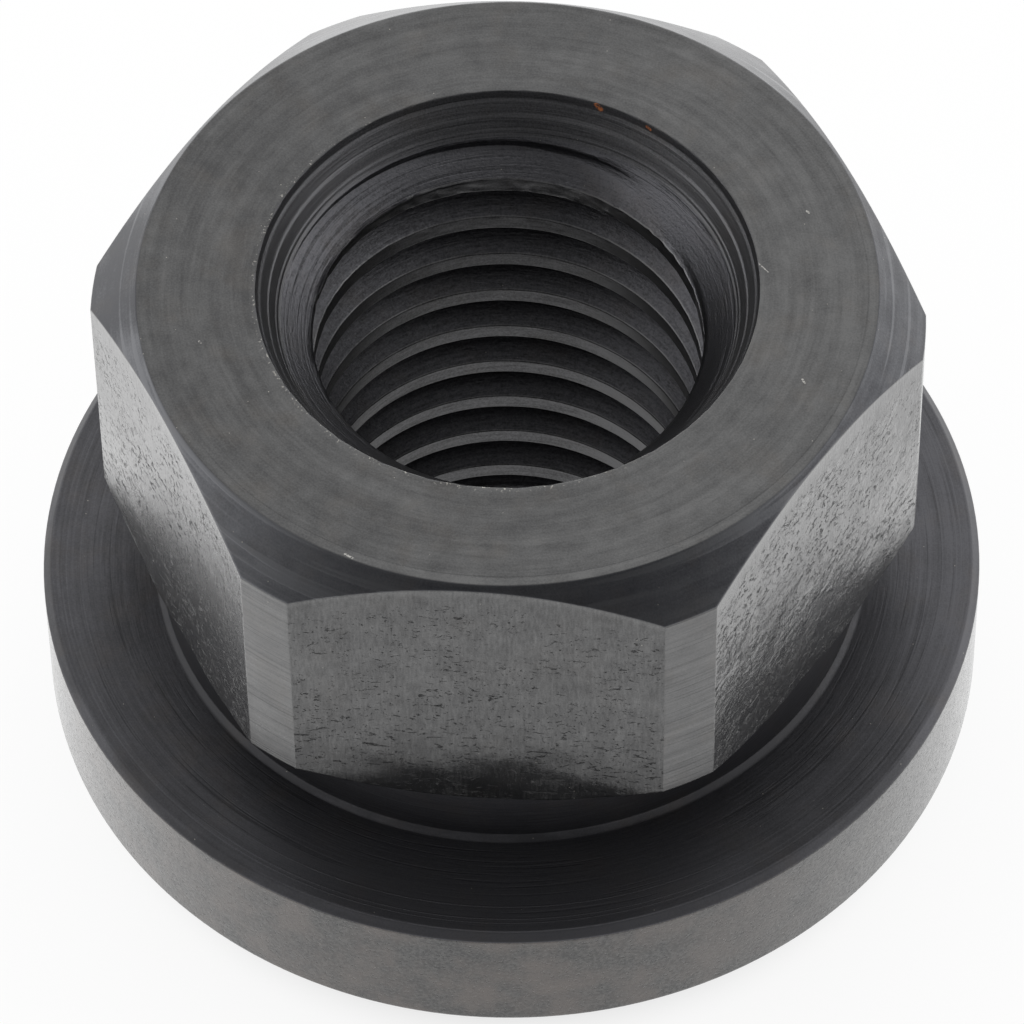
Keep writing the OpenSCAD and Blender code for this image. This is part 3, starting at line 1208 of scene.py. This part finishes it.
@dataclass(frozen=True)
class Studio:
    """A pale floor, a surround that is bright low down and darker overhead, and the photo's camera.

    Angles are in degrees and lengths in millimetres, the focal length and the sensor's width among them. The
    elevation is the camera's above the floor, and the dark elevation that of the surround's dark patch.
    """

    camera_turn: float = 5.4
    elevation: float = 53.385
    roll: float = -0.836
    distance: float = 332.36
    lens: float = 268.5
    sensor: float = 36.0
    target: tuple[float, float, float] = (0.054, 0.0, 12.671)
    dark: float = 0.2
    bright: float = 1.0
    horizon: float = 1.28
    overhead: float = 0.68
    dark_elevation: float = 37.0
    floor_glow: float = 0.82
    floor_light: float = 1.1
    # Strength of the painted glow in the bore, seen only in gloss.
    bore_painted_glow: float = 0.3
    floor_half: float = 1500.0
    floor_level: float = -0.02

    def place_camera(self) -> None:
        """Make the camera where the photo's edges put it, with its roll, and make it the scene's."""
        lean, roll = math.radians(self.elevation), math.radians(self.roll)
        onward = Vector((0, math.cos(lean), -math.sin(lean)))
        right = Vector((1, 0, 0))
        up = right.cross(onward)
        turned_right = right * math.cos(roll) + up * math.sin(roll)
        turned_up = up * math.cos(roll) - right * math.sin(roll)
        axes = Matrix((turned_right, turned_up, -onward)).transposed()
        turn = Matrix.Rotation(math.radians(self.camera_turn), 3, "Z")
        data = bpy.data.cameras.new("camera")
        data.sensor_width = self.sensor
        data.lens = self.lens
        data.clip_start, data.clip_end = 0.01, 10
        camera = bpy.data.objects.new("camera", data)
        place = (Vector(self.target) - onward * self.distance) * MM
        camera.matrix_world = Matrix.Translation(turn @ place) @ (turn @ axes).to_4x4()
        bpy.context.scene.collection.objects.link(camera)
        bpy.context.scene.camera = camera

    def make_world(self) -> None:
        """Light the scene from all round: a bright horizon, a soft panel behind, and a dark patch over the camera.

        The light along a direction falls from the horizon's level to the overhead one as it rises, and the
        panel lifts it to one round a direction above and behind the nut. Both are scaled down by a smooth
        step of the direction's cosine with the dark patch's middle. The camera itself sees plain white.
        """
        world = bpy.data.worlds.new("studio_surround")
        world.use_nodes = True
        tree = world.node_tree
        tree.nodes.clear()
        lean, turn = math.radians(self.dark_elevation), math.radians(self.camera_turn)
        patch = Vector((math.sin(turn) * math.cos(lean), -math.cos(turn) * math.cos(lean), math.sin(lean)))
        where = add(tree, "ShaderNodeTexCoord", {}).outputs["Generated"]
        near, behind = (
            add(tree, "ShaderNodeVectorMath", {"operation": "DOT_PRODUCT", 1: middle}, {0: where}).outputs["Value"]
            for middle in (patch, (-patch.x, 0.6, 0.8))
        )
        height = add(tree, "ShaderNodeSeparateXYZ", {}, {0: where}).outputs["Z"]
        names = ("From Min", "From Max", "To Min", "To Max")
        falls = (
            (near, (0.25, 0.96, self.bright, self.dark)),
            (height, (0.15, 0.65, self.horizon, self.overhead)),
            (behind, (0.8, 0.985, 0.0, 1 - self.overhead)),
        )
        shade, horizon, panel = (
            add(
                tree,
                "ShaderNodeMapRange",
                {"interpolation_type": "SMOOTHSTEP", **dict(zip(names, limits))},
                {"Value": level},
            ).outputs["Result"]
            for level, limits in falls
        )
        seen = add(tree, "ShaderNodeLightPath", {}).outputs["Is Camera Ray"]
        lit = add(tree, "ShaderNodeMath", {"operation": "ADD"}, {0: horizon, 1: panel}).outputs["Value"]
        level = add(tree, "ShaderNodeMath", {"operation": "MULTIPLY"}, {0: shade, 1: lit}).outputs["Value"]
        shown = add(tree, "ShaderNodeMix", {"data_type": "FLOAT", "B": 1.0}, {"Factor": seen, "A": level})
        light = add(tree, "ShaderNodeBackground", {"Color": linear("FFFFFF")}, {"Strength": shown.outputs["Result"]})
        add(tree, "ShaderNodeOutputWorld", {}, {"Surface": light.outputs["Background"]})
        bpy.context.scene.world = world

    def lay_floor(self) -> None:
        """Lay a pale floor that shows white to the camera and in gloss, and keeps a share that the nut can shade.

        Under the nut the floor's glow is taken out, a painted shadow, from inside the seat's ring to just inside
        the rim. Inside the bore the floor has a painted glow that only gloss sees, which paints a reflection on the
        thread.
        """
        half, level = self.floor_half * MM, self.floor_level * MM
        corners = [(-half, -half, level), (half, -half, level), (half, half, level), (-half, half, level)]
        mesh = bpy.data.meshes.new("floor")
        mesh.from_pydata(corners, [], [(0, 1, 2, 3)])
        floor = bpy.data.objects.new("floor", mesh)
        bpy.context.scene.collection.objects.link(floor)
        material = bpy.data.materials.new("white_acrylic_table")
        material.use_nodes = True
        material.cycles.emission_sampling = "NONE"
        tree = material.node_tree
        tree.nodes.clear()
        at = Place(tree)
        path = add(tree, "ShaderNodeLightPath", {}).outputs
        rays = ("Is Camera Ray", "Is Glossy Ray", "Is Transmission Ray")
        seen = at.total(0.0, [(path[name], self.floor_glow) for name in rays])
        # Painted shadow: the glow fades out under the nut, from the seat's ring to just inside the rim.
        in_open = at.mask(at.radius, 12.0, 20.0, seen)
        # Painted glow in the bore, seen only in gloss, which paints a reflection on the thread.
        painted_glow_in_bore = at.mask(at.radius, 9.5, 8.0, path["Is Glossy Ray"])
        share = at.total(0.0, [(in_open, 1.0), (painted_glow_in_bore, self.bore_painted_glow)])
        glow = add(tree, "ShaderNodeEmission", {"Color": linear("FFFFFF"), "Strength": self.floor_light})
        matt = add(tree, "ShaderNodeBsdfDiffuse", {"Color": linear("F4F4F4")})
        mixed = {"Fac": share, 1: matt.outputs["BSDF"], 2: glow.outputs["Emission"]}
        mix = add(tree, "ShaderNodeMixShader", {}, mixed)
        add(tree, "ShaderNodeOutputMaterial", {}, {"Surface": mix.outputs["Shader"]})
        mesh.materials.append(material)

    def set_up(self) -> None:
        """Make the camera, the surround and the floor, with colours shown as they are."""
        self.place_camera()
        self.make_world()
        self.lay_floor()
        bpy.context.scene.view_settings.view_transform = "Standard"


def finishes() -> dict[Area, bpy.types.Material]:
    """Make each area's finish, from its dark and light grey, roughness, coat roughness and depth of relief.

    Returns:
        The material of each area.
    """
    # The chamfer's side and far weights paint shade towards +X and on the part that faces -X.
    chamfer = {"turns": 1.6, "side": -0.2, "score": 0.6, "band": 0.45, "far": -0.8}
    plan = {
        Area.TOP: Faced("black_oxide_steel_faced", "3A3A3B", "606060", 0.36, 0.3, 0.005),
        Area.CHAMFER: Turned("black_oxide_steel_chamfered", "34353B", "636468", 0.36, 0.25, 0.01, **chamfer),
        Area.FLAT: ColdDrawn("black_oxide_steel_cold_drawn", "29292A", "6E6E6E", 0.34, 0.13, 0.08, patina_share=0.04),
        # The corner's side weight paints shade towards +X.
        Area.CORNER: Turned("black_oxide_steel_turned_corner", "3A3A3B", "606060", 0.34, 0.24, 0.008, side=-0.15),
        Area.FLANGE: FlangeFace("black_oxide_steel_turned_flange", "303035", "55555A", 0.52, 0.42, 0.01),
        Area.RIM: BarSkin("black_oxide_steel_drawn_bar", "1F1F1F", "4A4948", 0.28, 0.17, 0.012, patina_share=0.06),
        Area.SEAT: Turned("black_oxide_steel_turned_seat", "3C3C3D", "545455", 0.3, 0.26, 0.003, pitch=0.12),
        Area.MOUTH: Bored("black_oxide_steel_bored", "333337", "6A6A6D", 0.46, 0.38, 0.016),
        Area.THREAD: Tapped("black_oxide_steel_tapped", "2C2C31", "636368", 0.42, 0.34, 0.024),
        # The reamed crests' last weight also paints light on their +X side.
        Area.CREST: Tapped("black_oxide_steel_reamed", "424244", "7E7E80", 0.38, 0.34, 0.01, torn=0.3, lines_and_side_light=0.6),
    }
    return {area: finish.make() for area, finish in plan.items()}


def main() -> None:
    """Build the studio and the nut, dress it and report what was made."""
    logging.basicConfig(level=logging.INFO, format="%(message)s")
    Studio().set_up()
    low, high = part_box(NODE)
    sizes = NutSizes(height=(high[2] - low[2]) / MM, flange_r=(high[0] - low[0]) / 2 / MM)
    nut = NutSurface(sizes).build("nut")
    dressed = finishes()
    for area in Area:
        nut.data.materials.append(dressed[area])
    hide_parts(NODE)
    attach(nut, "root")
    nut.data.calc_loop_triangles()
    LOG.info("nut: %d points, %d triangles", len(nut.data.vertices), len(nut.data.loop_triangles))


if __name__ == "__main__":
    main()
